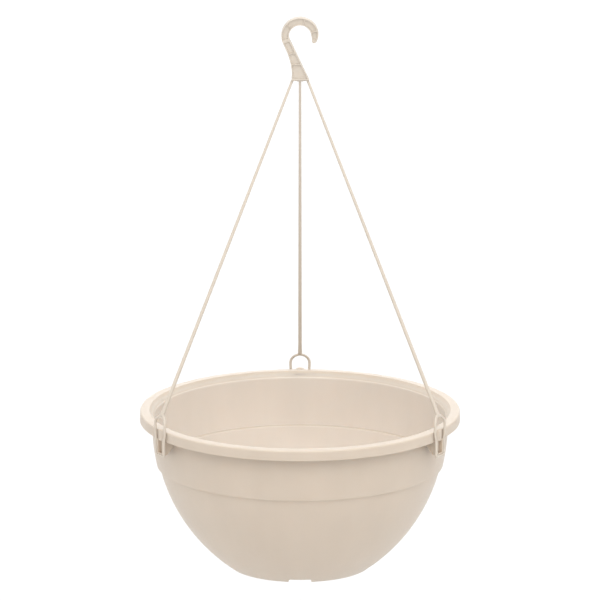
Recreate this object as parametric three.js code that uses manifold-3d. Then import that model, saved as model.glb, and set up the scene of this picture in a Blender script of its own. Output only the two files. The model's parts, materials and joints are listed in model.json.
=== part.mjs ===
// Hanging basket: a moulded bowl carried by a one-piece hanger with three strands.
// Millimetres, +Z up. The origin is the hook's seat, where the basket hangs from a bracket.
// Inside, every height is measured from the plane of the bowl's rim, and one group lowers it all.

import * as THREE from 'three';
import * as BufferGeometryUtils from 'three/addons/utils/BufferGeometryUtils.js';
import Module from 'manifold-3d';

const wasm = await Module();
wasm.setup();

// ---- Driving dimensions -------------------------------------------------------------------

const RIM_RADIUS = 140; // a 28 cm basket
const BOWL_HEIGHT = 140.4;
const WALL = 1.9;
const ROUND_STEPS = 72;
const ROD_SIDES = 10;

// The wall is two arcs about one centre, with a small step between them.
const WALL_ARC_R = -26.6;
const WALL_ARC_Z = -13.4;
const UPPER_WALL_RADIUS = 156.1;
const STEP_DEPTH = 2;
const STEP_Z = -49.3;

// Rolled rim: a top face that falls slightly outwards, and a skirt.
const RIM_INNER_RADIUS = 132.1;
const RIM_FALL = 0.5;
const RIM_BEVEL_DEPTH = 5;
const SKIRT_BOTTOM_Z = -9.4;
const SKIRT_FLARE = 0.4;
const RIM_WALL = 2;

// Foot ring, drain notches and drain holes.
const FOOT_HEIGHT = 3.5;
const FOOT_WIDTH = 3.1;
const NOTCH_WIDTH = 19.5;
const NOTCH_HEIGHT = 3.4;
const DRAIN_HOLES = 6;
const DRAIN_HOLE_RADIUS = 4;
const DRAIN_CIRCLE_RADIUS = 40;

// Hanger: the places are named by their direction round the bowl.
const PLACES = { back: 90, left: 210, right: 330 };
const GAP = 0.4; // running clearance between the bowl and the hanger

const LOOP_ROD_RADIUS = 1.15;
const LOOP_RADIUS = 8.4; // centre line of the ring that stands above the rim
const LOOP_CENTRE_Z = 4.4;
const LOOP_OUT = 141; // distance of the loop's plane from the bowl's axis
const LEG_SPREAD = 6.6; // half the distance between the legs beside the catch
const CROSSBAR_Z = -23.2;
const CROSSBAR_RADIUS = 1.2;
const CORNER_RADIUS = 1.8;

const LEAN_START_Z = 8; // above this the loop leans in, along the strand's pull
const LEAN_SLOPE = 0.4;

const NECK_Z = 14; // where a strand ends and its loop can bend
const NECK_OUT = LOOP_OUT - (NECK_Z - LEAN_START_Z) * LEAN_SLOPE;
const KNUCKLE_RADIUS = 1.9;

const STRAND_TOP_RADIUS = 1.1; // the strands thicken evenly from the hub down
const STRAND_FOOT_RADIUS = 1.6;
const STRAND_FLARE_LENGTH = 9;
const ROOT_DROP = 1.45; // the strands bend this far under the hub
const ROOT_SPREAD = 7.1;

// Catch on the bowl, under the rim, that the loop's crossbar bears against.
const CATCH_HALF_WIDTH = 4.7;
const CATCH_CHEEK = 0.9;
const CATCH_FRONT = 141.4;
const CATCH_ROOT = 128.5;
const CATCH_WEB = 136.6;
const CATCH_WEB_THICKNESS = 1.4;
const CATCH_TOP_Z = -1.5;
const CATCH_BOTTOM_Z = -22.2;
const CATCH_GUSSET_Z = -13; // where the cheeks' lower edges meet the wall
const CATCH_SILL_FRONT_Z = -21.2;
const CATCH_SILL_OUT = 139.4;
const CATCH_SILL_THICKNESS = 0.9;
const CATCH_HEAD_RISE = 1;
const CATCH_HEAD_ROUND = 2.8;
const LOOP_RECESS_OUT = 139.4;
const LOOP_RECESS_HALF_WIDTH = 10.2;

// Hook: an open ring, a shank and a fan-shaped hub, all one flat I-section.
const HOOK_CENTRE_Z = 337.7;
const HOOK_OUTER_RADIUS = 16.3;
const HOOK_INNER_RADIUS = 9.6;
const HOOK_THICKNESS = 6.6;
const HOOK_WEB = 4.4;
const HOOK_FLANGE = 1.15;
const HOOK_RIB = 1;
const HOOK_TIP_ANGLE = -20;
const HOOK_SHANK_ANGLE = 205;
const HUB_BOTTOM_Z = -40.1; // from the hook's centre
const HUB_LEFT = -7.4;
const HUB_RIGHT = 8.1;
const RING_RIB_ANGLES = [17, 74, 137, 196];
const SHANK_RIBS = [0.3, 0.6];

const SEAT_FACET = 10; // degrees of the inner arc that are one flat facet, centred on the top
const SEAT_HEIGHT = HOOK_CENTRE_Z + HOOK_INNER_RADIUS * Math.cos(radians(SEAT_FACET / 2));

// ---- Materials ----------------------------------------------------------------------------

const bowlPlastic = new THREE.MeshStandardMaterial({ color: 0xddd0bf, roughness: 0.55, metalness: 0 });
const hangerPlastic = new THREE.MeshStandardMaterial({ color: 0xd8ccbe, roughness: 0.5, metalness: 0 });

// ---- Solids -------------------------------------------------------------------------------

function radians(degrees) {
  return (degrees * Math.PI) / 180;
}

function toSolid(geometry) {
  let bare = geometry.index ? geometry.toNonIndexed() : geometry.clone();
  bare.deleteAttribute('normal');
  bare.deleteAttribute('uv');
  bare = BufferGeometryUtils.mergeVertices(bare, 1e-4);
  const mesh = new wasm.Mesh({
    numProp: 3,
    vertProperties: new Float32Array(bare.attributes.position.array),
    triVerts: new Uint32Array(bare.index.array),
  });
  return new wasm.Manifold(mesh);
}

function toGeometry(solid) {
  const mesh = solid.getMesh();
  const geometry = new THREE.BufferGeometry();
  geometry.setAttribute('position', new THREE.BufferAttribute(mesh.vertProperties, 3));
  geometry.setIndex(new THREE.BufferAttribute(mesh.triVerts, 1));
  geometry.computeVertexNormals();
  return geometry;
}

function shapeFrom(points) {
  return new THREE.Shape(points.map(([x, y]) => new THREE.Vector2(x, y)));
}

// A block between two corners.
function block(low, high) {
  const size = high.map((value, i) => value - low[i]);
  const geometry = new THREE.BoxGeometry(...size);
  geometry.translate(...low.map((value, i) => value + size[i] / 2));
  return geometry;
}

// A plate with an outline of [out, up] points, standing across the tangent from `from` to `to`.
// In a place's own frame +X points out from the axis, +Y runs round the rim and +Z is up.
function radialPlate(points, from, to) {
  const geometry = new THREE.ExtrudeGeometry(shapeFrom(points), { depth: to - from, bevelEnabled: false });
  geometry.rotateX(Math.PI / 2);
  geometry.translate(0, to, 0);
  return geometry;
}

// A plate with an outline of [round, up] points, standing across the radius from `from` to `to`.
function facingPlate(points, from, to) {
  const geometry = new THREE.ExtrudeGeometry(shapeFrom(points), { depth: to - from, bevelEnabled: false });
  geometry.rotateX(Math.PI / 2);
  geometry.rotateZ(Math.PI / 2);
  geometry.translate(from, 0, 0);
  return geometry;
}

function rodAlong(path, radius, steps, sides) {
  const section = new THREE.Shape();
  for (let i = 0; i < sides; i++) {
    const angle = (2 * Math.PI * (i + 0.5)) / sides;
    const x = radius * Math.cos(angle);
    const y = radius * Math.sin(angle);
    if (i === 0) section.moveTo(x, y);
    else section.lineTo(x, y);
  }
  return new THREE.ExtrudeGeometry(section, { extrudePath: path, steps });
}

function turned(geometry, degrees) {
  return geometry.clone().rotateZ(radians(degrees));
}

// ---- Bowl ---------------------------------------------------------------------------------

// Radius at height z of an arc about the wall's centre.
function wallRadius(arcRadius, z) {
  return WALL_ARC_R + Math.sqrt(arcRadius ** 2 - (z - WALL_ARC_Z) ** 2);
}

function arcPoints(arcRadius, fromZ, toZ, steps) {
  const fromAngle = Math.asin((fromZ - WALL_ARC_Z) / arcRadius);
  const toAngle = Math.asin((toZ - WALL_ARC_Z) / arcRadius);
  const points = [];
  for (let i = 0; i <= steps; i++) {
    const angle = fromAngle + ((toAngle - fromAngle) * i) / steps;
    points.push([WALL_ARC_R + arcRadius * Math.cos(angle), WALL_ARC_Z + arcRadius * Math.sin(angle)]);
  }
  return points;
}

function bowlProfile() {
  const lowerWall = UPPER_WALL_RADIUS - STEP_DEPTH;
  const floorZ = -BOWL_HEIGHT + FOOT_HEIGHT + WALL;
  const footRadius = wallRadius(lowerWall, -BOWL_HEIGHT);
  const innerStepZ = STEP_Z + WALL;
  const rimUnderZ = -RIM_FALL - RIM_WALL;
  const skirtInner = RIM_RADIUS - RIM_WALL;
  return [
    [0, floorZ - WALL],
    [footRadius - FOOT_WIDTH, floorZ - WALL],
    [footRadius - FOOT_WIDTH, -BOWL_HEIGHT],
    ...arcPoints(lowerWall, -BOWL_HEIGHT, STEP_Z, 8),
    ...arcPoints(UPPER_WALL_RADIUS, STEP_Z, rimUnderZ, 3),
    [skirtInner, rimUnderZ],
    [skirtInner + SKIRT_FLARE, SKIRT_BOTTOM_Z],
    [RIM_RADIUS + SKIRT_FLARE, SKIRT_BOTTOM_Z],
    [RIM_RADIUS, -RIM_FALL - 0.6],
    [RIM_RADIUS - 0.6, -RIM_FALL],
    [RIM_INNER_RADIUS, 0],
    ...arcPoints(UPPER_WALL_RADIUS - WALL, -RIM_BEVEL_DEPTH, innerStepZ, 3),
    ...arcPoints(lowerWall - WALL, innerStepZ, floorZ, 7),
    [0, floorZ],
  ];
}

// The catch in its place's own frame: two cheeks, a web, a sill and a rounded head on the skirt.
function catchSolids() {
  const sillUnder = [
    [CATCH_FRONT, CATCH_SILL_FRONT_Z],
    [CATCH_SILL_OUT, CATCH_BOTTOM_Z],
  ];
  const cheek = [
    [CATCH_ROOT, CATCH_TOP_Z - 3.2],
    [CATCH_ROOT + 3, CATCH_TOP_Z],
    [RIM_RADIUS - RIM_WALL + 1, CATCH_TOP_Z],
    [RIM_RADIUS - RIM_WALL + 1, SKIRT_BOTTOM_Z + 1],
    [CATCH_FRONT, SKIRT_BOTTOM_Z + 1],
    ...sillUnder,
    [CATCH_WEB, CATCH_BOTTOM_Z],
    [CATCH_ROOT, CATCH_GUSSET_Z],
  ];
  const sill = [
    ...sillUnder,
    [CATCH_WEB, CATCH_BOTTOM_Z],
    [CATCH_WEB, CATCH_BOTTOM_Z + CATCH_SILL_THICKNESS],
    [CATCH_SILL_OUT, CATCH_BOTTOM_Z + CATCH_SILL_THICKNESS],
    [CATCH_FRONT, CATCH_SILL_FRONT_Z + CATCH_SILL_THICKNESS],
  ];
  const inside = CATCH_HALF_WIDTH - CATCH_CHEEK;
  const web = block(
    [CATCH_WEB, -inside - CATCH_CHEEK / 2, CATCH_BOTTOM_Z],
    [CATCH_WEB + CATCH_WEB_THICKNESS, inside + CATCH_CHEEK / 2, CATCH_TOP_Z],
  );
  return [
    radialPlate(cheek, -CATCH_HALF_WIDTH, -inside),
    radialPlate(cheek, inside, CATCH_HALF_WIDTH),
    radialPlate(sill, -inside - CATCH_CHEEK / 2, inside + CATCH_CHEEK / 2),
    web,
  ];
}

// The head is rounded in plan, and its top is a low arch.
function catchHead() {
  const from = RIM_RADIUS - RIM_WALL + 0.8;
  const arch = [];
  for (let i = 0; i <= 6; i++) {
    const round = CATCH_HALF_WIDTH * (1 - i / 3);
    const drop = (round / CATCH_HALF_WIDTH) ** 2;
    arch.push([round, CATCH_HEAD_RISE - (CATCH_HEAD_RISE + RIM_FALL + 0.4) * drop]);
  }
  const front = [
    [-CATCH_HALF_WIDTH, SKIRT_BOTTOM_Z],
    [CATCH_HALF_WIDTH, SKIRT_BOTTOM_Z],
    ...arch,
  ];
  const plan = [[from, -CATCH_HALF_WIDTH]];
  for (let i = -3; i <= 3; i++) {
    const angle = radians(i * 20);
    const out = CATCH_FRONT - CATCH_HEAD_ROUND * (1 - Math.cos(angle));
    plan.push([out, (CATCH_HALF_WIDTH * Math.sin(angle)) / Math.sin(radians(60))]);
  }
  plan.push([from, CATCH_HALF_WIDTH]);
  const tall = CATCH_HEAD_RISE - SKIRT_BOTTOM_Z + 2;
  const column = new THREE.ExtrudeGeometry(shapeFrom(plan), { depth: tall, bevelEnabled: false });
  column.translate(0, 0, SKIRT_BOTTOM_Z - 1);
  return toSolid(facingPlate(front, from, CATCH_FRONT + 1)).intersect(toSolid(column));
}

function makeBowl() {
  const profile = bowlProfile().map(([r, z]) => new THREE.Vector2(r, z));
  const lathe = new THREE.LatheGeometry(profile, ROUND_STEPS);
  lathe.rotateX(Math.PI / 2);
  let bowl = toSolid(lathe);

  const notch = block(
    [40, -NOTCH_WIDTH / 2, -BOWL_HEIGHT - 1],
    [90, NOTCH_WIDTH / 2, -BOWL_HEIGHT + NOTCH_HEIGHT],
  );
  const recess = block(
    [LOOP_RECESS_OUT, -LOOP_RECESS_HALF_WIDTH, SKIRT_BOTTOM_Z - 2],
    [RIM_RADIUS + 5, LOOP_RECESS_HALF_WIDTH, 2],
  );
  const hole = new THREE.CylinderGeometry(DRAIN_HOLE_RADIUS, DRAIN_HOLE_RADIUS, 20, 16);
  hole.rotateX(Math.PI / 2);
  hole.translate(DRAIN_CIRCLE_RADIUS, 0, -BOWL_HEIGHT + FOOT_HEIGHT);
  for (let i = 0; i < DRAIN_HOLES; i++) {
    bowl = bowl.subtract(toSolid(turned(hole, (360 * i) / DRAIN_HOLES)));
  }

  const head = toGeometry(catchHead());
  for (const degrees of Object.values(PLACES)) {
    bowl = bowl.subtract(toSolid(turned(notch, degrees + 180)));
    bowl = bowl.subtract(toSolid(turned(recess, degrees)));
    for (const piece of [...catchSolids(), head]) {
      bowl = bowl.add(toSolid(turned(piece, degrees)));
    }
  }
  return toGeometry(bowl);
}

// ---- Loops and strands --------------------------------------------------------------------

// Half of the loop's centre line as [round, up] points, from the crossbar to the ring's top.
function loopHalf() {
  const points = [
    [LEG_SPREAD - 2 * CORNER_RADIUS, CROSSBAR_Z],
    [LEG_SPREAD - CORNER_RADIUS, CROSSBAR_Z],
    [LEG_SPREAD - CORNER_RADIUS * 0.3, CROSSBAR_Z + CORNER_RADIUS * 0.3],
    [LEG_SPREAD, CROSSBAR_Z + CORNER_RADIUS],
    [LEG_SPREAD, -14],
    [LEG_SPREAD + 0.2, -9],
    [LEG_SPREAD + 1.3, -4],
    [LOOP_RADIUS - 0.25, 0],
  ];
  for (let degrees = 0; degrees < 90; degrees += 22.5) {
    const angle = radians(degrees);
    points.push([LOOP_RADIUS * Math.cos(angle), LOOP_CENTRE_Z + LOOP_RADIUS * Math.sin(angle)]);
  }
  return points;
}

function makeLoop(degrees) {
  const half = loopHalf();
  const top = [0, LOOP_CENTRE_Z + LOOP_RADIUS];
  const line = [...half, top, ...half.map(([round, up]) => [-round, up]).reverse()];
  const path = new THREE.CatmullRomCurve3(
    line.map(([round, up]) => {
      const lean = Math.max(0, up - LEAN_START_Z) * LEAN_SLOPE;
      return new THREE.Vector3(LOOP_OUT - lean, round, up);
    }),
  );
  const barLength = 2 * LEG_SPREAD - 4;
  const crossbar = new THREE.CylinderGeometry(CROSSBAR_RADIUS, CROSSBAR_RADIUS, barLength, ROD_SIDES);
  crossbar.translate(LOOP_OUT, 0, CROSSBAR_Z);
  const knuckle = new THREE.SphereGeometry(KNUCKLE_RADIUS, 12, 8);
  knuckle.rotateX(Math.PI / 2);
  knuckle.translate(NECK_OUT, 0, NECK_Z);
  const rod = rodAlong(path, LOOP_ROD_RADIUS, 44, 8);
  const loop = toSolid(rod).add(toSolid(crossbar)).add(toSolid(knuckle));
  return turned(toGeometry(loop), degrees);
}

// The point where the strand of one place bends under the hub.
function strandRoot(degrees) {
  const across = Math.round(Math.cos(radians(degrees)) / Math.cos(radians(PLACES.right)));
  return new THREE.Vector3(across * ROOT_SPREAD, 0, HOOK_CENTRE_Z + HUB_BOTTOM_Z - ROOT_DROP);
}

// A strand is turned about its own axis: a round top end, a long rod and a flare at the foot.
function makeStrand(degrees) {
  const root = strandRoot(degrees);
  const angle = radians(degrees);
  const neck = new THREE.Vector3(NECK_OUT * Math.cos(angle), NECK_OUT * Math.sin(angle), NECK_Z);
  const length = root.distanceTo(neck);
  const foot = KNUCKLE_RADIUS + GAP;
  const profile = [
    new THREE.Vector2(0, foot),
    new THREE.Vector2(KNUCKLE_RADIUS, foot),
    new THREE.Vector2(STRAND_FOOT_RADIUS, foot + STRAND_FLARE_LENGTH),
    new THREE.Vector2(STRAND_TOP_RADIUS, length),
  ];
  for (let tilt = 30; tilt < 90; tilt += 30) {
    const out = STRAND_TOP_RADIUS * Math.cos(radians(tilt));
    profile.push(new THREE.Vector2(out, length + STRAND_TOP_RADIUS * Math.sin(radians(tilt))));
  }
  profile.push(new THREE.Vector2(0, length + STRAND_TOP_RADIUS));
  const strand = new THREE.LatheGeometry(profile, ROD_SIDES);
  const up = new THREE.Vector3(0, 1, 0);
  const along = root.clone().sub(neck).normalize();
  strand.applyQuaternion(new THREE.Quaternion().setFromUnitVectors(up, along));
  strand.translate(neck.x, neck.y, neck.z);
  return toGeometry(toSolid(strand));
}

// ---- Hook ---------------------------------------------------------------------------------

// The hook's section at one angle of its ring: its outer and inner edge points. The bar slims
// towards the tip.
function ringSection(degrees) {
  const slim = Math.min(1, Math.max(0, (15 - degrees) / 35)) ** 2;
  const direction = new THREE.Vector2(Math.cos(radians(degrees)), Math.sin(radians(degrees)));
  return [
    direction.clone().multiplyScalar(HOOK_OUTER_RADIUS - 1.1 * slim),
    direction.clone().multiplyScalar(HOOK_INNER_RADIUS + 1.6 * slim),
  ];
}

// The section at t = 0 to 1 down the shank, from the ring to the hub's bottom: its left edge is
// a curve and its right edge is straight.
function shankSection(t) {
  const [outer, inner] = ringSection(HOOK_SHANK_ANGLE);
  const left = new THREE.CubicBezierCurve(
    outer,
    new THREE.Vector2(-9.7, -17.8),
    new THREE.Vector2(-6.2, -27),
    new THREE.Vector2(HUB_LEFT, HUB_BOTTOM_Z),
  );
  return [left.getPoint(t), inner.clone().lerp(new THREE.Vector2(HUB_RIGHT, HUB_BOTTOM_Z), t)];
}

function ringSteps(from, to) {
  const angles = [from];
  const half = SEAT_FACET / 2;
  const first = Math.floor((from - half) / SEAT_FACET + 1) * SEAT_FACET + half;
  for (let angle = first; angle < to - 1e-6; angle += SEAT_FACET) {
    if (angle > from) angles.push(angle);
  }
  angles.push(to);
  return angles;
}

function shankSteps(from, to, count) {
  return Array.from({ length: count + 1 }, (_, i) => from + ((to - from) * i) / count);
}

// A closed outline down one edge of the sections and back up the other, set in by `inset`.
function outlineOf(sections, inset) {
  const one = [];
  const other = [];
  for (const [a, b] of sections) {
    const in_ = b.clone().sub(a).setLength(inset);
    one.push(a.clone().add(in_));
    other.push(b.clone().sub(in_));
  }
  return [...one, ...other.reverse()];
}

function tipCap() {
  const [outer, inner] = ringSection(HOOK_TIP_ANGLE);
  const centre = outer.clone().add(inner).multiplyScalar(0.5);
  const radius = outer.distanceTo(inner) / 2;
  const points = [];
  for (let turn = 30; turn < 180; turn += 30) {
    const angle = radians(HOOK_TIP_ANGLE - 180 + turn);
    points.push(new THREE.Vector2(Math.cos(angle), Math.sin(angle)).multiplyScalar(radius).add(centre));
  }
  return points;
}

// A plate in the hook's own plane, between two distances along Y.
function hookPlate(points, from, to) {
  const shape = new THREE.Shape(points);
  const geometry = new THREE.ExtrudeGeometry(shape, { depth: to - from, bevelEnabled: false });
  geometry.rotateX(Math.PI / 2);
  geometry.translate(0, to, HOOK_CENTRE_Z);
  return geometry;
}

function hookPockets() {
  const pockets = [];
  const ribAngle = THREE.MathUtils.radToDeg(HOOK_RIB / 2 / HOOK_OUTER_RADIUS) * 1.3;
  const ringEnds = [...RING_RIB_ANGLES];
  for (let i = 0; i + 1 < ringEnds.length; i++) {
    const angles = ringSteps(ringEnds[i] + ribAngle, ringEnds[i + 1] - ribAngle);
    pockets.push(outlineOf(angles.map(ringSection), HOOK_FLANGE));
  }
  const tip = ringSteps(HOOK_TIP_ANGLE + 6, ringEnds[0] - ribAngle);
  pockets.push(outlineOf(tip.map(ringSection), HOOK_FLANGE));
  const shankEnds = [0, ...SHANK_RIBS, 1];
  const ribShare = HOOK_RIB / 2 / -HUB_BOTTOM_Z;
  for (let i = 0; i + 1 < shankEnds.length; i++) {
    const steps = shankSteps(shankEnds[i] + ribShare, shankEnds[i + 1] - 2 * ribShare, 3);
    pockets.push(outlineOf(steps.map(shankSection), HOOK_FLANGE));
  }
  return pockets;
}

function makeHook() {
  const ring = ringSteps(HOOK_TIP_ANGLE, HOOK_SHANK_ANGLE).map(ringSection);
  const shank = shankSteps(0, 1, 10).slice(1).map(shankSection);
  const outline = [...outlineOf([...ring, ...shank], 0), ...tipCap()];
  const half = HOOK_THICKNESS / 2;
  let hook = toSolid(hookPlate(outline, -half, half));
  for (const pocket of hookPockets()) {
    hook = hook.subtract(toSolid(hookPlate(pocket, -half - 1, -HOOK_WEB / 2)));
    hook = hook.subtract(toSolid(hookPlate(pocket, HOOK_WEB / 2, half + 1)));
  }
  return toGeometry(hook);
}

// ---- Assembly -----------------------------------------------------------------------------

function named(name, geometry, material) {
  const mesh = new THREE.Mesh(geometry, material);
  mesh.name = name;
  return mesh;
}

const basket = new THREE.Group();
basket.position.z = -SEAT_HEIGHT;
basket.add(named('hook', makeHook(), hangerPlastic));
basket.add(named('bowl', makeBowl(), bowlPlastic));
for (const [place, degrees] of Object.entries(PLACES)) {
  basket.add(named(`strand_${place}`, makeStrand(degrees), hangerPlastic));
  basket.add(named(`loop_${place}`, makeLoop(degrees), hangerPlastic));
}

const group = new THREE.Group();
group.add(basket);
export default group;
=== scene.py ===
import json
import math

import bmesh
import bpy
from mathutils import Matrix, Vector


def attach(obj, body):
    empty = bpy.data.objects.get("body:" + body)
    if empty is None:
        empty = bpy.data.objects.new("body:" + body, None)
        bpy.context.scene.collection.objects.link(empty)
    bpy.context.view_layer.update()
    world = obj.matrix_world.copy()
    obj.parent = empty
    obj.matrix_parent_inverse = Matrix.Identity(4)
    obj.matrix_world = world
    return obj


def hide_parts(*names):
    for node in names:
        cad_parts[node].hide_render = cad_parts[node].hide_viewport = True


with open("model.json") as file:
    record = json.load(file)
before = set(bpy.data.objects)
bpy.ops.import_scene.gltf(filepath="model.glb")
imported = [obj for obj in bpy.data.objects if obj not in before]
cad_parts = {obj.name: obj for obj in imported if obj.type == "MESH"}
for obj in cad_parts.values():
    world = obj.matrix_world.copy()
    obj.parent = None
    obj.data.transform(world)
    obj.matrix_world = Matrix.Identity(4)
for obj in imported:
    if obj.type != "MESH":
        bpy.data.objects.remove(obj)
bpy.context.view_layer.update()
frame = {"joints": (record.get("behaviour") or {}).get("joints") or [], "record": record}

# A moulded hanging basket. Shapes are written in millimetres, with z = 0 in the plane of the rim,
# and are moved to the frame, in metres, as each mesh is made. In a clip's own plane the
# directions are out (from the bowl's axis), round (along the rim) and up.

MM = 0.001

# ---- Sizes, in millimetres -----------------------------------------------------------------

RIM_RADIUS = 140.0
BOWL_HEIGHT = 140.4
WALL = 1.9
ARC_CENTRE = (-26.6, -13.4)
UPPER_ARC = 156.1
STEP_DEPTH = 2.0
STEP_Z = -49.3

RIM_INNER = 132.1
RIM_FALL = 0.5
RIM_BEVEL = 5.0
RIM_WALL = 2.0
SKIRT_BOTTOM = -9.4
SKIRT_FLARE = 0.4

FOOT_HEIGHT = 3.5
FOOT_WIDTH = 3.1
NOTCH_WIDTH = 19.5
NOTCH_HEIGHT = 3.4
DRAIN_HOLES = 6
DRAIN_HOLE_RADIUS = 4.0
DRAIN_CIRCLE = 40.0
DRAIN_BREAK_UNDER = 0.6
DRAIN_BREAK_TOP = 0.5
GATE_MARK_RADIUS = 1.7
GATE_MARK_DROP = 0.7
BASE_RING = (24.0, 30.0)
BASE_RING_RISE = 0.25
FLOOR_CORNER = 7.0

RECESS_OUT = 139.4
RECESS_HALF = 10.2
RECESS_SOFT = 2.6  # degrees over which the recess fades out

CATCH_HALF = 4.7
CATCH_CHEEK = 0.9
CATCH_FRONT = 141.4
CATCH_ROOT = 128.5
CATCH_WEB = 136.6
CATCH_WEB_THICKNESS = 1.4
CATCH_TOP = -1.5
CATCH_BOTTOM = -22.2
CATCH_GUSSET = -13.0
CATCH_SILL_FRONT = -21.2
CATCH_SILL_OUT = 139.4
CATCH_SILL = 0.9
HEAD_RISE = 1.0
HEAD_ROUND = 2.8

LOOP_ROD = 1.15
LOOP_RADIUS = 8.4
LOOP_CENTRE = 4.4
LOOP_OUT = 141.0
LEAN_START = 8.0
LEAN_SOFT = 1.5
LEG_SPREAD = 6.6
CROSSBAR_Z = -23.2
LOOP_CORNER = 1.8
KNUCKLE = 1.9
LOOP_SEAM = 0.06
STRAND_SEAM = 0.05

STRAND_TOP = 1.1
STRAND_FOOT = 1.6
STRAND_FLARE = 10.0
ROOT_BALL = 1.05

HOOK_CENTRE = 337.7
HOOK_OUTER = 16.3
HOOK_INNER = 9.6
HOOK_THICKNESS = 6.6
HOOK_WEB = 4.4
HOOK_FLANGE = 0.95
HOOK_RIB = 0.8
HOOK_EDGE = 0.45
HOOK_CORNER = 0.7
POCKET_CORNER = 0.8
TIP_ANGLE = -20.0
TIP_SLIM_FROM = 15.0  # the bar slims from this angle to the tip
TIP_SLIM_OUTER = 1.1
TIP_SLIM_INNER = 1.6
SHANK_ANGLE = 205.0
SHANK_BENDS = ((-9.7, -17.8), (-6.2, -27.0))
HUB_BOTTOM = -40.1
HUB_LEFT = -7.4
HUB_RIGHT = 8.1
HUB_ARCH = 2.3
HUB_EDGE = 1.7  # from the lowest pocket to the hub's bottom
RING_RIBS = (17.0, 74.0, 137.0, 196.0)
SHANK_RIBS = (0.3, 0.6)

PLACES = {"back": 90.0, "left": 210.0, "right": 330.0}

# ---- The frame -----------------------------------------------------------------------------

mounts = {mount["name"]: mount for mount in frame["record"]["mounts"]}
joints = {joint["name"]: joint for joint in frame["joints"]}
RIM_HEIGHT = mounts["foot_rest"]["pos_m"][2] + BOWL_HEIGHT * MM
TO_FRAME = Matrix.Translation((0, 0, RIM_HEIGHT)) @ Matrix.Scale(MM, 4)
FROM_FRAME = TO_FRAME.inverted()


def joint_point(name):
    """A joint's place in millimetres from the rim's centre."""
    return FROM_FRAME @ Vector(joints[name]["pos_m"])


# ---- Mesh helpers --------------------------------------------------------------------------


def new_object(name, points, faces):
    mesh = bpy.data.meshes.new(name)
    mesh.from_pydata([tuple(point) for point in points], [], faces)
    bm = bmesh.new()
    bm.from_mesh(mesh)
    bmesh.ops.remove_doubles(bm, verts=bm.verts, dist=1e-5)
    bmesh.ops.recalc_face_normals(bm, faces=bm.faces)
    bm.to_mesh(mesh)
    bm.free()
    piece = bpy.data.objects.new(name, mesh)
    bpy.context.scene.collection.objects.link(piece)
    return piece


def loft(name, rings):
    """A closed solid through rings of points that all have the same count."""
    count = len(rings[0])
    points = [point for ring in rings for point in ring]
    faces = []
    for level in range(len(rings) - 1):
        low = level * count
        for i in range(count):
            j = (i + 1) % count
            faces.append((low + i, low + j, low + count + j, low + count + i))
    faces.append(tuple(range(count))[::-1])
    faces.append(tuple(range(len(points) - count, len(points))))
    return new_object(name, points, faces)


def apply_modifiers(piece):
    graph = bpy.context.evaluated_depsgraph_get()
    mesh = bpy.data.meshes.new_from_object(piece.evaluated_get(graph))
    piece.modifiers.clear()
    piece.data = mesh


def combine(target, other, operation):
    """Join or cut target with other, and drop other."""
    modifier = target.modifiers.new("combine", "BOOLEAN")
    modifier.object = other
    modifier.operation = operation
    modifier.solver = "MANIFOLD"
    apply_modifiers(target)
    bpy.data.objects.remove(other)
    return target


def turned_copy(piece, degrees):
    copy = piece.copy()
    copy.data = piece.data.copy()
    copy.data.transform(Matrix.Rotation(math.radians(degrees), 4, "Z"))
    bpy.context.scene.collection.objects.link(copy)
    return copy


def rounded(corners, closed=True, steps=5):
    """A line of (x, y, radius) corners as points, each corner turned into an arc."""
    points = []
    count = len(corners)
    for i, (x, y, radius) in enumerate(corners):
        here = Vector((x, y))
        is_end = not closed and i in (0, count - 1)
        before = Vector(corners[i - 1][:2]) - here
        after = Vector(corners[(i + 1) % count][:2]) - here
        turn = math.pi - before.angle(after) if radius and not is_end else 0
        if turn < math.radians(4):
            points.append(here)
            continue
        reach = radius * math.tan(turn / 2)
        reach = min(reach, 0.48 * before.length, 0.48 * after.length)
        start = here + before.normalized() * reach
        end = here + after.normalized() * reach
        for k in range(steps + 1):
            t = k / steps
            points.append(start.lerp(here, t).lerp(here.lerp(end, t), t))
    return points


def arc(radius, from_z, to_z, steps):
    """Points of an arc about the wall's centre, between two heights."""
    from_angle = math.asin((from_z - ARC_CENTRE[1]) / radius)
    to_angle = math.asin((to_z - ARC_CENTRE[1]) / radius)
    angles = [from_angle + (to_angle - from_angle) * i / steps for i in range(steps + 1)]
    return [(ARC_CENTRE[0] + radius * math.cos(a), ARC_CENTRE[1] + radius * math.sin(a)) for a in angles]


def finish_piece(piece, node, body, material, sharp=35):
    """Move a piece to the frame, shade it, and let it stand for its CAD node."""
    piece.data.transform(TO_FRAME)
    piece.data.shade_smooth()
    piece.data.set_sharp_from_angle(angle=math.radians(sharp))
    if node == "hook":
        # The panels and the flanges' faces lie square to the frame's Y and stay flat.
        for face in piece.data.polygons:
            face.use_smooth = abs(face.normal.y) < 0.998
    piece.data.materials.clear()
    piece.data.materials.append(material)
    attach(piece, body)
    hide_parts(node)


# ---- Materials -----------------------------------------------------------------------------


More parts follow.
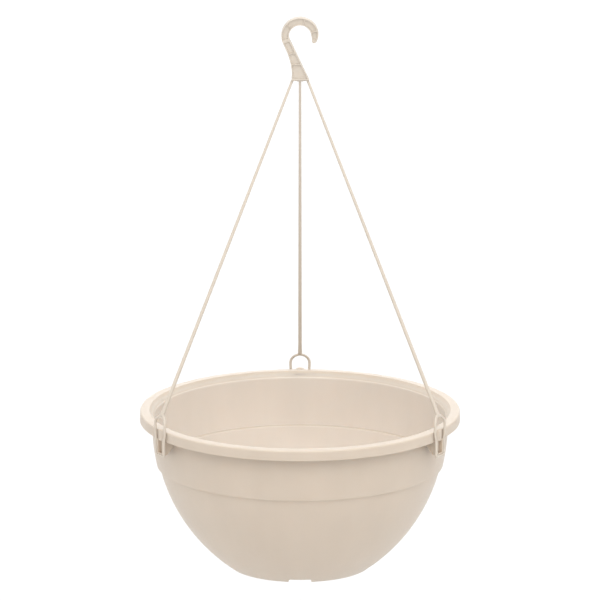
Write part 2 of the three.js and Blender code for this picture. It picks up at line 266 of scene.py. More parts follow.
class Nodes:
    """A short way to write a material's node tree."""

    def __init__(self, name):
        self.material = bpy.data.materials.new(name)
        self.material.use_nodes = True
        self.tree = self.material.node_tree
        self.shader = self.tree.nodes["Principled BSDF"]

    def add(self, kind, **values):
        node = self.tree.nodes.new(kind)
        for key, value in values.items():
            if key in node.inputs:
                node.inputs[key].default_value = value
            else:
                setattr(node, key, value)
        return node

    def link(self, source, target):
        self.tree.links.new(source, target)

    def math(self, operation, first, second=None):
        node = self.add("ShaderNodeMath", operation=operation)
        for socket, value in zip(node.inputs, (first, second)):
            if isinstance(value, (int, float)):
                socket.default_value = value
            elif value is not None:
                self.link(value, socket)
        return node.outputs[0]

    def noise(self, vector, scale, detail=2.0, roughness=0.5):
        node = self.add("ShaderNodeTexNoise")
        node.inputs["Scale"].default_value = scale
        node.inputs["Detail"].default_value = detail
        node.inputs["Roughness"].default_value = roughness
        self.link(vector, node.inputs["Vector"])
        return node.outputs["Fac"]

    def spread(self, value, low, high):
        """Map 0.3..0.7, where noise mostly lies, to low..high."""
        node = self.add("ShaderNodeMapRange")
        node.inputs["From Min"].default_value = 0.3
        node.inputs["From Max"].default_value = 0.7
        node.inputs["To Min"].default_value = low
        node.inputs["To Max"].default_value = high
        self.link(value, node.inputs["Value"])
        return node.outputs["Result"]


BOWL_COLOR = (0.552, 0.474, 0.392)
# Painted light: the paler tint given to the faces towards the bowl's axis, standing in for light that comes
# through the thin wall.
INNER_LIGHT_COLOR = (0.8, 0.755, 0.7)
HANGER_COLOR = (0.55, 0.487, 0.412)
EDGE_SOFTNESS = 0.35  # millimetres
GRAIN_HEIGHT = 0.06  # millimetres
CLOUD_SCALE = 22.0  # noise scales, per metre
COARSE_SCALE = 380.0
FINE_SCALE = 1500.0


def flow_marks(nodes, place):
    """Marks that run up the wall from the gate under the base, so they follow the angle."""
    split = nodes.add("ShaderNodeSeparateXYZ")
    nodes.link(place, split.inputs[0])
    angle = nodes.math("ARCTAN2", split.outputs["Y"], split.outputs["X"])
    along = nodes.add("ShaderNodeCombineXYZ")
    nodes.link(nodes.math("MULTIPLY", angle, 2.2), along.inputs[0])
    nodes.link(nodes.math("MULTIPLY", split.outputs["Z"], 3.0), along.inputs[1])
    return nodes.noise(along.outputs[0], 3.0, 3.0)


def soft_edges(nodes):
    """A rounded normal for each moulded edge, and how far it differs from the face's own."""
    bevel = nodes.add("ShaderNodeBevel", samples=4)
    bevel.inputs["Radius"].default_value = EDGE_SOFTNESS * MM
    geometry = nodes.add("ShaderNodeNewGeometry")
    facing = nodes.add("ShaderNodeVectorMath", operation="DOT_PRODUCT")
    nodes.link(bevel.outputs[0], facing.inputs[0])
    nodes.link(geometry.outputs["Normal"], facing.inputs[1])
    return bevel.outputs[0], nodes.math("SUBTRACT", 1.0, facing.outputs["Value"])


def inner_light_side(nodes, coordinates):
    """1 on the faces towards the bowl's axis, which get painted light, and 0 elsewhere."""
    place = coordinates.outputs["Object"]
    flat = nodes.add("ShaderNodeVectorMath", operation="MULTIPLY")
    nodes.link(place, flat.inputs[0])
    flat.inputs[1].default_value = (1, 1, 0)
    radial = nodes.add("ShaderNodeVectorMath", operation="NORMALIZE")
    nodes.link(flat.outputs[0], radial.inputs[0])
    inward = nodes.add("ShaderNodeVectorMath", operation="DOT_PRODUCT")
    nodes.link(radial.outputs[0], inward.inputs[0])
    nodes.link(coordinates.outputs["Normal"], inward.inputs[1])
    lit_inside = nodes.add("ShaderNodeMapRange", interpolation_type="SMOOTHSTEP")
    lit_inside.inputs["From Min"].default_value = -0.75
    lit_inside.inputs["From Max"].default_value = -0.92
    nodes.link(inward.outputs["Value"], lit_inside.inputs["Value"])
    return lit_inside.outputs["Result"]


def moulded_plastic(name, color, rough, grain, inner_light=0.0, painted_edge_light=0.12, soft=(0.85, 2.2)):
    """Cream polypropylene: a fine eroded grain, faint flow marks and mottling, and soft edges.
    inner_light is how much paler the faces towards the bowl's axis are painted, painted light for the
    light that comes through the thin wall; painted_edge_light how much paler the moulded edges are
    painted, a painted highlight, and painted shade for values below zero; and soft the share of light
    that spreads under the surface and how far, in millimetres."""
    nodes = Nodes(name)
    coordinates = nodes.add("ShaderNodeTexCoord")
    place = coordinates.outputs["Object"]
    flow = flow_marks(nodes, place)
    cloud = nodes.noise(place, CLOUD_SCALE, 3.0)
    fine = nodes.noise(place, FINE_SCALE, 2.0, 0.6)
    coarse = nodes.noise(place, COARSE_SCALE, 3.0, 0.55)
    normal, edge = soft_edges(nodes)

    tone = nodes.math("ADD", nodes.spread(flow, -0.012, 0.012), nodes.spread(cloud, 0.982, 1.018))
    tone = nodes.math("ADD", tone, nodes.spread(fine, -0.008, 0.008))
    # Painted highlight on the moulded edges, and painted shade on them where the factor is below zero.
    tone = nodes.math("ADD", tone, nodes.math("MULTIPLY", edge, painted_edge_light))
    # Painted light: the faces towards the bowl's axis are made paler, standing in for light that comes
    # through the thin wall.
    painted_light = nodes.math("MULTIPLY", inner_light_side(nodes, coordinates), inner_light)
    hue = nodes.add("ShaderNodeMix", data_type="RGBA")
    factor, first, second = (hue.inputs[i] for i in (0, 6, 7))
    first.default_value = (*color, 1)
    second.default_value = (*INNER_LIGHT_COLOR, 1)
    nodes.link(painted_light, factor)

    shade = nodes.add("ShaderNodeVectorMath", operation="SCALE")
    nodes.link(hue.outputs[2], shade.inputs[0])
    nodes.link(tone, shade.inputs["Scale"])
    nodes.link(shade.outputs[0], nodes.shader.inputs["Base Color"])

    # The edges are polished by handling.
    sheen = nodes.spread(coarse, rough - 0.05, rough + 0.05)
    sheen = nodes.math("ADD", sheen, nodes.spread(cloud, -0.03, 0.03))
    sheen = nodes.math("SUBTRACT", sheen, nodes.math("MULTIPLY", edge, 0.3))
    nodes.link(sheen, nodes.shader.inputs["Roughness"])

    height = nodes.math("ADD", nodes.math("MULTIPLY", coarse, 0.6), fine)
    bump = nodes.add("ShaderNodeBump")
    bump.inputs["Strength"].default_value = grain
    bump.inputs["Distance"].default_value = GRAIN_HEIGHT * MM
    nodes.link(height, bump.inputs["Height"])
    nodes.link(normal, bump.inputs["Normal"])
    nodes.link(bump.outputs[0], nodes.shader.inputs["Normal"])

    nodes.shader.inputs["IOR"].default_value = 1.49
    nodes.shader.inputs["Specular IOR Level"].default_value = 0.42
    nodes.shader.inputs["Subsurface Weight"].default_value = soft[0]
    nodes.shader.inputs["Subsurface Radius"].default_value = (1.0, 0.92, 0.85)
    nodes.shader.inputs["Subsurface Scale"].default_value = soft[1] * MM
    return nodes.material


def studio_white():
    """The floor: matt white paper with a barely visible tooth."""
    nodes = Nodes("studio_white")
    place = nodes.add("ShaderNodeTexCoord").outputs["Object"]
    tooth = nodes.noise(place, 60.0, 2.0)
    shade = nodes.add("ShaderNodeVectorMath", operation="SCALE")
    shade.inputs[0].default_value = (0.75, 0.75, 0.75)
    nodes.link(nodes.spread(tooth, 0.997, 1.003), shade.inputs["Scale"])
    nodes.link(shade.outputs[0], nodes.shader.inputs["Base Color"])
    nodes.shader.inputs["Roughness"].default_value = 0.9
    nodes.shader.inputs["Specular IOR Level"].default_value = 0.1
    return nodes.material


# ---- Bowl ----------------------------------------------------------------------------------


def bowl_profile():
    lower = UPPER_ARC - STEP_DEPTH
    base_under = -BOWL_HEIGHT + FOOT_HEIGHT
    floor = base_under + WALL
    rim_under = -RIM_FALL - RIM_WALL
    skirt_inner = RIM_RADIUS - RIM_WALL
    inner_step = STEP_Z + WALL
    lower_outer = arc(lower, -BOWL_HEIGHT, STEP_Z, 44)
    upper_outer = arc(UPPER_ARC, STEP_Z, rim_under, 16)
    upper_inner = arc(UPPER_ARC - WALL, -RIM_BEVEL, inner_step, 14)
    lower_inner = arc(lower - WALL, inner_step, floor, 40)
    foot_inner = lower_outer[0][0] - FOOT_WIDTH
    gate_z = base_under - GATE_MARK_DROP
    gate = [(0, gate_z, 0), (GATE_MARK_RADIUS - 0.4, gate_z, 0.3), (GATE_MARK_RADIUS, base_under, 0.4)]
    ring_z = base_under + BASE_RING_RISE
    ring_in, ring_out = BASE_RING
    base_ring = [
        (ring_in, base_under, 0.3),
        (ring_in + 0.4, ring_z, 0.3),
        (ring_out - 0.4, ring_z, 0.3),
        (ring_out, base_under, 0.3),
    ]
    return rounded(
        [
            *gate,
            *base_ring,
            (foot_inner - 0.4, base_under, 1.2),
            (foot_inner, -BOWL_HEIGHT, 0.5),
            (*lower_outer[0], 0.9),
            *[(r, z, 0) for r, z in lower_outer[1:-1]],
            (*lower_outer[-1], 0.45),
            (*upper_outer[0], 0.7),
            *[(r, z, 0) for r, z in upper_outer[1:-1]],
            (*upper_outer[-1], 1.6),
            (skirt_inner - 0.2, rim_under, 1.4),
            (skirt_inner + SKIRT_FLARE, SKIRT_BOTTOM, 0.55),
            (RIM_RADIUS + SKIRT_FLARE, SKIRT_BOTTOM, 0.7),
            (RIM_RADIUS, -RIM_FALL, 1.5),
            (RIM_INNER, 0, 0.9),
            (*upper_inner[0], 2.5),
            *[(r, z, 0) for r, z in upper_inner[1:-1]],
            (*upper_inner[-1], 0.9),
            (*lower_inner[0], 0.5),
            *[(r, z, 0) for r, z in lower_inner[1:-1]],
            (*lower_inner[-1], FLOOR_CORNER),
            (0, floor, 0),
        ],
        closed=False,
    )


def round_angles():
    """Angles round the bowl, in degrees, closer together where a clip's recess starts."""
    angles = [360 * i / 288 for i in range(288)]
    edge = math.degrees(math.asin(RECESS_HALF / RIM_RADIUS))
    for degrees in PLACES.values():
        for side in (-1, 1):
            for i in range(9):
                angles.append((degrees + side * (edge + RECESS_SOFT * i / 8)) % 360)
    return sorted(angles)


def recess_depth(degrees):
    """1 inside a clip's recess in the rim, 0 outside it, with a short soft edge."""
    edge = math.degrees(math.asin(RECESS_HALF / RIM_RADIUS))
    depth = 0.0
    for place in PLACES.values():
        away = abs((degrees - place + 180) % 360 - 180)
        share = min(1.0, max(0.0, (edge + RECESS_SOFT - away) / RECESS_SOFT))
        depth = max(depth, share * share * (3 - 2 * share))
    return depth


def lathe_bowl():
    profile = bowl_profile()
    angles = round_angles()
    sections = []
    for degrees in angles:
        depth = recess_depth(degrees)
        direction = Vector((math.cos(math.radians(degrees)), math.sin(math.radians(degrees))))
        near = min(PLACES.values(), key=lambda place: abs((degrees - place + 180) % 360 - 180))
        flat = RECESS_OUT / math.cos(math.radians(degrees - near)) if depth else 0
        section = []
        for r, z in profile:
            if depth and r > RECESS_OUT:
                r += (min(r, flat) - r) * depth
            section.append((direction.x * r, direction.y * r, z))
        sections.append(section)
    count = len(profile)
    points = [point for section in sections for point in section]
    faces = []
    for i in range(len(sections)):
        here, there = i * count, ((i + 1) % len(sections)) * count
        for k in range(count - 1):
            faces.append((here + k, there + k, there + k + 1, here + k + 1))
    return new_object("bowl_moulding", points, faces)


def prism(name, outline, to_point, from_value, to_value):
    """A plate with a 2D outline, standing between two values of its third direction."""
    rings = [[to_point(x, y, value) for x, y in outline] for value in (from_value, to_value)]
    return loft(name, rings)


def bevelled(piece, width):
    modifier = piece.modifiers.new("bevel", "BEVEL")
    modifier.width = width
    modifier.segments = 3
    modifier.limit_method = "ANGLE"
    modifier.angle_limit = math.radians(50)
    apply_modifiers(piece)
    return piece


def catch_head():
    """The catch's head on the skirt: rounded in plan, with a low arched top."""
    steps = 18
    back = RIM_RADIUS - RIM_WALL + 0.8
    sweep = math.radians(60)
    rings = []
    for i in range(steps + 1):
        angle = sweep * (2 * i / steps - 1)
        share = math.sin(angle) / math.sin(sweep)
        front = CATCH_FRONT - HEAD_ROUND * (1 - math.cos(angle))
        top = HEAD_RISE - (HEAD_RISE + RIM_FALL + 0.4) * share**2
        section = [(back, SKIRT_BOTTOM, 0), (front, SKIRT_BOTTOM, 0.35), (front, top, 1.1), (back, top, 0)]
        rings.append([(x, CATCH_HALF * share, y) for x, y in rounded(section)])
    return loft("head", rings)


def make_catch():
    """One catch in the plane of a clip at angle 0: cheeks, web, sill and head."""
    cheek_top = RIM_RADIUS - RIM_WALL + 1
    sill_under = [(CATCH_FRONT, CATCH_SILL_FRONT, 0.3), (CATCH_SILL_OUT, CATCH_BOTTOM, 0.6)]
    cheek = rounded(
        [
            (CATCH_ROOT, CATCH_TOP - 3.2, 0),
            (CATCH_ROOT + 3, CATCH_TOP, 0),
            (cheek_top, CATCH_TOP, 0),
            (cheek_top, SKIRT_BOTTOM + 1, 0),
            (CATCH_FRONT, SKIRT_BOTTOM + 1, 0),
            *sill_under,
            (CATCH_WEB, CATCH_BOTTOM, 1.5),
            (CATCH_ROOT, CATCH_GUSSET, 0),
        ]
    )
    sill = rounded(
        [
            *sill_under,
            (CATCH_WEB, CATCH_BOTTOM, 0),
            (CATCH_WEB, CATCH_BOTTOM + CATCH_SILL, 0),
            (CATCH_SILL_OUT, CATCH_BOTTOM + CATCH_SILL, 0.6),
            (CATCH_FRONT, CATCH_SILL_FRONT + CATCH_SILL, 0.3),
        ]
    )
    web = [
        (CATCH_WEB, CATCH_BOTTOM + 0.1),
        (CATCH_WEB + CATCH_WEB_THICKNESS, CATCH_BOTTOM + 0.1),
        (CATCH_WEB + CATCH_WEB_THICKNESS, CATCH_TOP),
        (CATCH_WEB, CATCH_TOP),
    ]

    def across(out, up, around):
        return (out, around, up)

    inside = CATCH_HALF - CATCH_CHEEK
    catch = bevelled(prism("catch", cheek, across, -CATCH_HALF, -inside), 0.22)
    other = bevelled(prism("cheek", cheek, across, inside, CATCH_HALF), 0.22)
    combine(catch, other, "UNION")
    middle = CATCH_HALF - CATCH_CHEEK / 2
    combine(catch, prism("sill", sill, across, -middle, middle), "UNION")
    combine(catch, prism("web", web, across, -middle, middle), "UNION")
    combine(catch, catch_head(), "UNION")
    return catch


def drain_cutter(degrees):
    """A drain hole's space, a little wider at both faces of the base."""
    angle = math.radians(degrees)
    centre = Vector((DRAIN_CIRCLE * math.cos(angle), DRAIN_CIRCLE * math.sin(angle)))
    base = -BOWL_HEIGHT + FOOT_HEIGHT
    levels = (
        (-3, DRAIN_BREAK_UNDER),
        (-0.05, DRAIN_BREAK_UNDER),
        (0.45, 0),
        (WALL - 0.4, 0),
        (WALL + 0.05, DRAIN_BREAK_TOP),
        (6, DRAIN_BREAK_TOP),
    )
    turns = [math.radians(360 * k / 40) for k in range(40)]
    rings = []
    for z, wider in levels:
        radius = DRAIN_HOLE_RADIUS + wider
        ring = [(centre.x + radius * math.cos(t), centre.y + radius * math.sin(t), base + z) for t in turns]
        rings.append(ring)
    return loft("drain", rings)


def notch_cutter():
    """The space of one notch through the foot ring, opposite a clip at angle 0."""
    half, top = NOTCH_WIDTH / 2, -BOWL_HEIGHT + NOTCH_HEIGHT
    under = top - 8
    corners = [(-half - 0.6, under, 0), (half + 0.6, under, 0), (half, top, 1.2), (-half, top, 1.2)]
    return prism("notch", rounded(corners), lambda x, y, out: (out, x, y), 40, 90)


def make_bowl():
    bowl = lathe_bowl()
    for i in range(DRAIN_HOLES):
        combine(bowl, drain_cutter(360 * i / DRAIN_HOLES), "DIFFERENCE")
    notch = notch_cutter()
    catch = make_catch()
    for degrees in PLACES.values():
        combine(bowl, turned_copy(notch, degrees + 180), "DIFFERENCE")
        combine(bowl, turned_copy(catch, degrees), "UNION")
    for helper in (notch, catch):
        bpy.data.objects.remove(helper)
    return bowl


# ---- Hook ----------------------------------------------------------------------------------


def ring_section(degrees):
    """Outer and inner edge points at one angle of the hook's ring; the bar slims to its tip."""
    slim = min(1, max(0, (TIP_SLIM_FROM - degrees) / (TIP_SLIM_FROM - TIP_ANGLE))) ** 2
    direction = Vector((math.cos(math.radians(degrees)), math.sin(math.radians(degrees))))
    outer = direction * (HOOK_OUTER - TIP_SLIM_OUTER * slim)
    inner = direction * (HOOK_INNER + TIP_SLIM_INNER * slim)
    return outer, inner


def shank_section(t):
    """Left and right edge points at t = 0..1 down the shank."""
    outer, inner = ring_section(SHANK_ANGLE)
    bends = [outer, *(Vector(bend) for bend in SHANK_BENDS), Vector((HUB_LEFT, HUB_BOTTOM))]
    while len(bends) > 1:
        bends = [a.lerp(b, t) for a, b in zip(bends, bends[1:])]
    return bends[0], inner.lerp(Vector((HUB_RIGHT, HUB_BOTTOM)), t)


def spaced(low, high, step):
    count = max(1, math.ceil((high - low) / step))
    return [low + (high - low) * i / count for i in range(count + 1)]


def outline_of(sections, inset):
    one, other = [], []
    for a, b in sections:
        inward = (b - a).normalized() * inset
        one.append(a + inward)
        other.append(b - inward)
    return one + other[::-1]


def inset_loop(points, distance):
    """Move each point of a closed outline to its inner side."""
    area = sum(a.x * b.y - b.x * a.y for a, b in zip(points, points[1:] + points[:1]))
    side = 1 if area > 0 else -1
    moved = []
    for i, point in enumerate(points):
        before = (point - points[i - 1]).normalized()
        after = (points[(i + 1) % len(points)] - point).normalized()
        normal = Vector((-before.y - after.y, before.x + after.x)) * side
        if normal.length < 1e-6:
            moved.append(point.copy())
            continue
        normal.normalize()
        stretch = max(0.6, normal.dot(Vector((-after.y, after.x)) * side))
        moved.append(point + normal * distance / stretch)
    return moved


def round_corners(points, radius, limit=40):
    """Round only the real corners of a dense outline."""
    corners = []
    for i, point in enumerate(points):
        before = points[i - 1] - point
        after = points[(i + 1) % len(points)] - point
        is_corner = math.pi - before.angle(after) > math.radians(limit)
        corners.append((point.x, point.y, radius if is_corner else 0))
    return rounded(corners)


def edge_rounded_plate(name, outline, half, edge):
    """A plate in the hook's plane whose edges are rounded."""
    rings = []
    turns = [math.radians(a) for a in range(0, 91, 15)]
    levels = [(-half + edge * (1 - math.sin(t)), edge * (1 - math.cos(t))) for t in reversed(turns)]
    levels += [(half - edge * (1 - math.sin(t)), edge * (1 - math.cos(t))) for t in turns]
    for y, inset in levels:
        rings.append([(p.x, y, p.y + HOOK_CENTRE) for p in inset_loop(outline, inset)])
    return loft(name, rings)


def pocket_outlines():
    rib = math.degrees(HOOK_RIB / 2 / HOOK_OUTER) * 1.3
    ends = [TIP_ANGLE + 3, *RING_RIBS]
    outlines = []
    for low, high in zip(ends, ends[1:]):
        sections = [ring_section(a) for a in spaced(low + rib, high - rib, 4)]
        outlines.append(outline_of(sections, HOOK_FLANGE))
    share = HOOK_RIB / 2 / -HUB_BOTTOM
    ends = [0, *SHANK_RIBS, 1]
    for low, high in zip(ends, ends[1:]):
        margin = share if high < 1 else HUB_EDGE / -HUB_BOTTOM
        sections = [shank_section(t) for t in spaced(low + share, high - margin, 0.04)]
        outlines.append(outline_of(sections, HOOK_FLANGE))
    return [round_corners(outline, POCKET_CORNER) for outline in outlines]


def pocket_cutter(outline, side):
    """A pocket with a little draft and a soft floor edge, on the front or the back."""
    floor, mouth = HOOK_WEB / 2, HOOK_THICKNESS / 2
    levels = ((floor, 0.3), (floor + 0.08, 0.14), (floor + 0.25, 0.05), (mouth, 0), (mouth + 1, -0.05))
    rings = []
    for y, inset in levels:
        rings.append([(p.x, side * y, p.y + HOOK_CENTRE) for p in inset_loop(outline, inset)])
    return loft("pocket", rings)


def along_line(start, end, stations, sides, name, seam=0.0):
    """A round rod from start towards end, with (distance, radius) stations and a seam line."""
    axis = (end - start).normalized()
    across = axis.cross(Vector((0, 1, 0))).normalized()
    deep = axis.cross(across)
    rings = []
    for distance, radius in stations:
        ring = []
        for k in range(sides):
            turn = 2 * math.pi * k / sides
            ridge = seam if k in (0, sides // 2) else 0
            offset = across * math.cos(turn) + deep * math.sin(turn)
            ring.append(start + axis * distance + offset * (radius + min(ridge, radius * 0.1)))
        rings.append(ring)
    return loft(name, rings)


def ball_stations(radius, from_angle, to_angle, steps=8):
    angles = [math.radians(from_angle + (to_angle - from_angle) * i / steps) for i in range(steps + 1)]
    return [(radius * math.sin(a), radius * math.cos(a)) for a in angles]


def hub_sides():
    """The space the strands' roots may fill: the hub's sides run on into the outer strands."""
    side = abs(joint_point("left_strand_swing").x) + ROOT_BALL
    root = joint_point("left_strand_swing").z
    hub = HOOK_CENTRE + HUB_BOTTOM
    outline = [
        (-side - 1, root - 2),
        (side + 1, root - 2),
        (side + 0.15, root + 0.2),
        (HUB_RIGHT, hub),
        (HUB_RIGHT - 0.5, hub + 0.7),
        (HUB_LEFT + 0.3, hub + 0.7),
        (HUB_LEFT - 0.1, hub),
        (-side - 0.15, root + 0.2),
    ]
    half = HOOK_WEB / 2 + 0.1
    return prism("hub_sides", outline, lambda x, z, y: (x, y, z), -half, half)


def tip_cap():
    """Points round the bar's end, from its inner edge back to its outer one."""
    outer, inner = ring_section(TIP_ANGLE)
    centre, radius = (outer + inner) / 2, (outer - inner).length / 2
    points = []
    for turn in range(15, 180, 15):
        angle = math.radians(TIP_ANGLE - 180 + turn)
        points.append(centre + Vector((math.cos(angle), math.sin(angle))) * radius)
    return points


def hook_outline():
    ring = [ring_section(a) for a in spaced(TIP_ANGLE, SHANK_ANGLE, 3)]
    shank = [shank_section(t) for t in spaced(0, 1, 0.03)[1:]]
    edge = outline_of(ring + shank, 0)
    middle = len(edge) // 2
    bottom = [edge[middle - 1].lerp(edge[middle], i / 12) for i in range(1, 12)]
    return round_corners(edge[:middle] + bottom + edge[middle:] + tip_cap(), HOOK_CORNER)


def strand_flare(place):
    """The hub's end of a strand: a ball that the strand turns on, and an arch up to the hub."""
    root = joint_point(f"{place}_strand_swing")
    neck = joint_point(f"{place}_loop_unclip")
    drop = (HOOK_CENTRE + HUB_BOTTOM - root.z) / (root - neck).normalized().z
    stations = ball_stations(ROOT_BALL, -85, 0, 6)
    for turn in range(15, 91, 15):
        flare = HUB_ARCH * (1 - math.cos(math.radians(turn)))
        stations.append((drop * math.sin(math.radians(turn)), ROOT_BALL + flare))
    stations.append((drop + 1, ROOT_BALL + HUB_ARCH))
    flare = along_line(root, root + (root - neck), stations, 32, "root")
    return combine(flare, hub_sides(), "INTERSECT")


def make_hook():
    hook = edge_rounded_plate("hook_moulding", hook_outline(), HOOK_THICKNESS / 2, HOOK_EDGE)
    for pocket in pocket_outlines():
        for side in (-1, 1):
            combine(hook, pocket_cutter(pocket, side), "DIFFERENCE")
    for place in PLACES:
        combine(hook, strand_flare(place), "UNION")
    return hook


# ---- Strands and loops ---------------------------------------------------------------------


def make_strand(place):
    root = joint_point(f"{place}_strand_swing")
    neck = joint_point(f"{place}_loop_unclip")
    length = (root - neck).length
    stations = [(0.75, 1.6), (1.1, 1.78)]
    for reach in [*spaced(1.5, STRAND_FLARE, 1), *spaced(STRAND_FLARE + 8, length - 6, 12)]:
        swell = 0.3 * max(0, 1 - (reach - 1.5) / STRAND_FLARE) ** 2
        taper = STRAND_FOOT + (STRAND_TOP - STRAND_FOOT) * reach / length
        stations.append((reach, taper + swell))
    stations += [(length + s, r) for s, r in ball_stations(STRAND_TOP, 0, 85)]
    return along_line(neck, root, stations, 32, f"strand_{place}_moulding", seam=STRAND_SEAM)


def loop_line():
    """The loop's closed centre line as dense (round, up) points."""
    half = [
        (0, CROSSBAR_Z),
        (LEG_SPREAD - LOOP_CORNER * 1.5, CROSSBAR_Z),
        (LEG_SPREAD - LOOP_CORNER * 0.85, CROSSBAR_Z + 0.08),
        (LEG_SPREAD - LOOP_CORNER * 0.3, CROSSBAR_Z + LOOP_CORNER * 0.3),
        (LEG_SPREAD - 0.08, CROSSBAR_Z + LOOP_CORNER * 0.85),
        (LEG_SPREAD, CROSSBAR_Z + LOOP_CORNER * 1.5),
        (LEG_SPREAD, -14),
        (LEG_SPREAD + 0.2, -9),
        (LEG_SPREAD + 1.3, -4),
        (LOOP_RADIUS - 0.25, 0),
    ]
    for degrees in range(0, 90, 15):
        angle = math.radians(degrees)
        half.append((LOOP_RADIUS * math.cos(angle), LOOP_CENTRE + LOOP_RADIUS * math.sin(angle)))
    top = (0, LOOP_CENTRE + LOOP_RADIUS)
    knots = [Vector(p) for p in half + [top] + [(-x, y) for x, y in half[:0:-1]]]
    line = []
    count = len(knots)
    for i in range(count):
        a, b, c, d = (knots[(i + k - 1) % count] for k in range(4))
        steps = max(2, math.ceil((c - b).length / 0.7))
        for k in range(steps):
            t = k / steps
            # A Catmull-Rom curve through b and c.
            square = (2 * a - 5 * b + 4 * c - d) * t**2
            cube = (3 * b - a - 3 * c + d) * t**3
            line.append(0.5 * (2 * b + (c - a) * t + square + cube))
    return line


def lean_height(up):
    """How far a height counts in the loop's lean: the bend at its start is a soft one."""
    above = max(0.0, up - LEAN_START + LEAN_SOFT)
    return above**2 / (4 * LEAN_SOFT) if above < 2 * LEAN_SOFT else above - LEAN_SOFT


def loop_neck(out, up, slope):
    """The neck swells from the ring's top, wide along the ring, up to a round knuckle."""
    top = LOOP_CENTRE + LOOP_RADIUS
    middle = LOOP_OUT - slope * lean_height(top)
    stations = [
        (top - 0.75, middle + 0.1, 3.4, 0.7),
        (top - 0.2, middle, 3.1, 1.1),
        (top + 0.3, middle - 0.1, 2.6, 1.3),
        (top + 0.7, middle - 0.25, 2.15, 1.6),
    ]
    for angle in (0, 15, 30, 45, 60, 75, 86):
        lift = KNUCKLE * math.sin(math.radians(angle))
        girth = KNUCKLE * math.cos(math.radians(angle))
        stations.append((up + lift, out, girth, girth))
    rings = []
    for z, centre, wide, deep in stations:
        turns = [2 * math.pi * k / 32 for k in range(32)]
        rings.append([(centre + deep * math.cos(t), wide * math.sin(t), z) for t in turns])
    return loft("neck", rings)


def make_loop(place):
    line = loop_line()
    neck = joint_point("back_loop_unclip")
    out, up = neck.y, neck.z
    slope = (LOOP_OUT - out) / (up - LEAN_START)
    sides = 24
    rings = []
    for i, point in enumerate(line):
        ahead = (line[(i + 1) % len(line)] - line[i - 1]).normalized()
        side = Vector((ahead.y, -ahead.x))
        on_bar = max(0.0, 1 - abs(point.x) / (LEG_SPREAD - 1.5)) if point.y < CROSSBAR_Z + 1 else 0
        ring = []
        for k in range(sides):
            turn = 2 * math.pi * k / sides
            seam = LOOP_SEAM if k in (0, sides // 2) else 0
            reach = LOOP_ROD + seam + 0.05 * min(1, on_bar * 3)
            flat = point + side * math.cos(turn) * reach
            lean = slope * lean_height(flat.y)
            ring.append((LOOP_OUT - lean + math.sin(turn) * reach, flat.x, flat.y))
        rings.append(ring)
    points = [point for ring in rings for point in ring]
    faces = []
    for i in range(len(rings)):
        here, there = i * sides, ((i + 1) % len(rings)) * sides
        for k in range(sides):
            faces.append((here + k, here + (k + 1) % sides, there + (k + 1) % sides, there + k))
    loop = new_object(f"loop_{place}_moulding", points, faces)
    combine(loop, loop_neck(out, up, slope), "UNION")
    loop.data.transform(Matrix.Rotation(math.radians(PLACES[place]), 4, "Z"))
    return loop


# ---- The basket ----------------------------------------------------------------------------

# The bowl's faces towards its axis get painted light.
bowl_plastic = moulded_plastic("bowl_plastic_cream", BOWL_COLOR, 0.42, 0.35, inner_light=0.55)
# The hanger's moulded edges are painted darker, as painted shade; the bowl keeps the default painted edge
# highlight.
hanger_plastic = moulded_plastic(
    "hanger_plastic_cream", HANGER_COLOR, 0.42, 0.2, painted_edge_light=-0.2, soft=(0.4, 1.0)
)

finish_piece(make_bowl(), "bowl", "basket_bowl", bowl_plastic, sharp=28)
finish_piece(make_hook(), "hook", "hanger_hook", hanger_plastic, sharp=20)
for place in PLACES:
    strand = make_strand(place)
    finish_piece(strand, f"strand_{place}", f"{place}_strand", hanger_plastic, 70)
    loop = make_loop(place)
    finish_piece(loop, f"loop_{place}", f"{place}_loop", hanger_plastic, 50)

# ---- Stage, light and camera ---------------------------------------------------------------

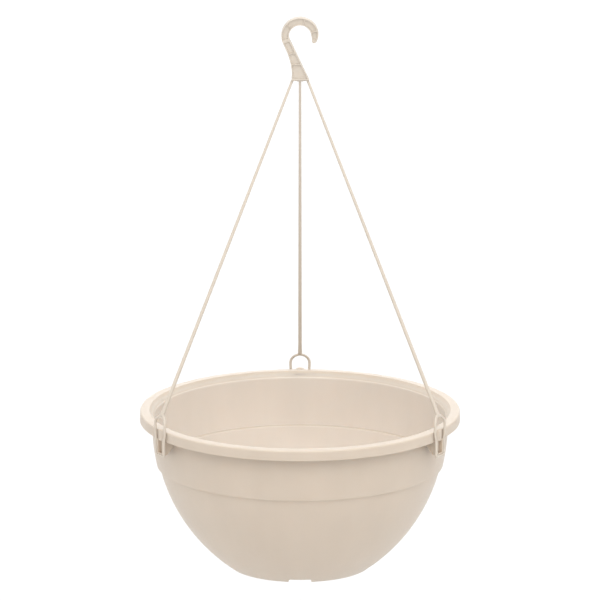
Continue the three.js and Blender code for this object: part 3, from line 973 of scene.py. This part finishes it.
FLOOR_DROP = 0.13  # from the foot to the floor, in metres
FLOOR_SIZE = 60.0
VIEW_ELEVATION = math.radians(14.7)
VIEW_WIDTH = 0.525
VIEW_DISTANCE = 20.0
AIM_ABOVE_RIM = 0.099
SENSOR = 36.0
SKY_STRENGTH = 1.1

# Each soft light's name, place and width in metres, and power in watts.
SOFT_LIGHTS = (
    ("key_softbox", (0.5, -2.6, 3.2), 4.8, 108),
    ("back_softbox", (0, 3.2, 0.9), 2.4, 14),
    ("low_fill", (0, -3.2, -0.3), 1.1, 5),
)


def make_floor():
    half = FLOOR_SIZE / 2
    z = mounts["foot_rest"]["pos_m"][2] - FLOOR_DROP
    corners = [(-half, -half, z), (half, -half, z), (half, half, z), (-half, half, z)]
    floor = new_object("studio_floor", corners, [(0, 1, 2, 3)])
    floor.data.materials.append(studio_white())


def aim(thing, target):
    thing.rotation_euler = (target - thing.location).to_track_quat("-Z", "Y").to_euler()


def soft_light(name, place, target, size, power):
    data = bpy.data.lights.new(name, "AREA")
    data.shape = "DISK"
    data.size = size
    data.energy = power
    light = bpy.data.objects.new(name, data)
    light.location = place
    bpy.context.scene.collection.objects.link(light)
    aim(light, target)


def make_studio():
    bowl_centre = Vector((0, 0, RIM_HEIGHT))
    for name, place, size, power in SOFT_LIGHTS:
        soft_light(name, Vector(place), bowl_centre, size, power)
    world = bpy.data.worlds.new("studio")
    world.use_nodes = True
    background = world.node_tree.nodes["Background"]
    background.inputs["Color"].default_value = (1, 1, 1, 1)
    background.inputs["Strength"].default_value = SKY_STRENGTH
    bpy.context.scene.world = world
    bpy.context.scene.view_settings.view_transform = "Standard"


def make_camera():
    target = Vector((0, 0, RIM_HEIGHT + AIM_ABOVE_RIM))
    data = bpy.data.cameras.new("photo_view")
    data.sensor_width = SENSOR
    data.lens = SENSOR * VIEW_DISTANCE / VIEW_WIDTH
    data.clip_end = 200
    camera = bpy.data.objects.new("photo_view", data)
    back = Vector((0, -math.cos(VIEW_ELEVATION), math.sin(VIEW_ELEVATION)))
    camera.location = target + back * VIEW_DISTANCE
    bpy.context.scene.collection.objects.link(camera)
    aim(camera, target)
    bpy.context.scene.camera = camera


make_floor()
make_studio()
make_camera()
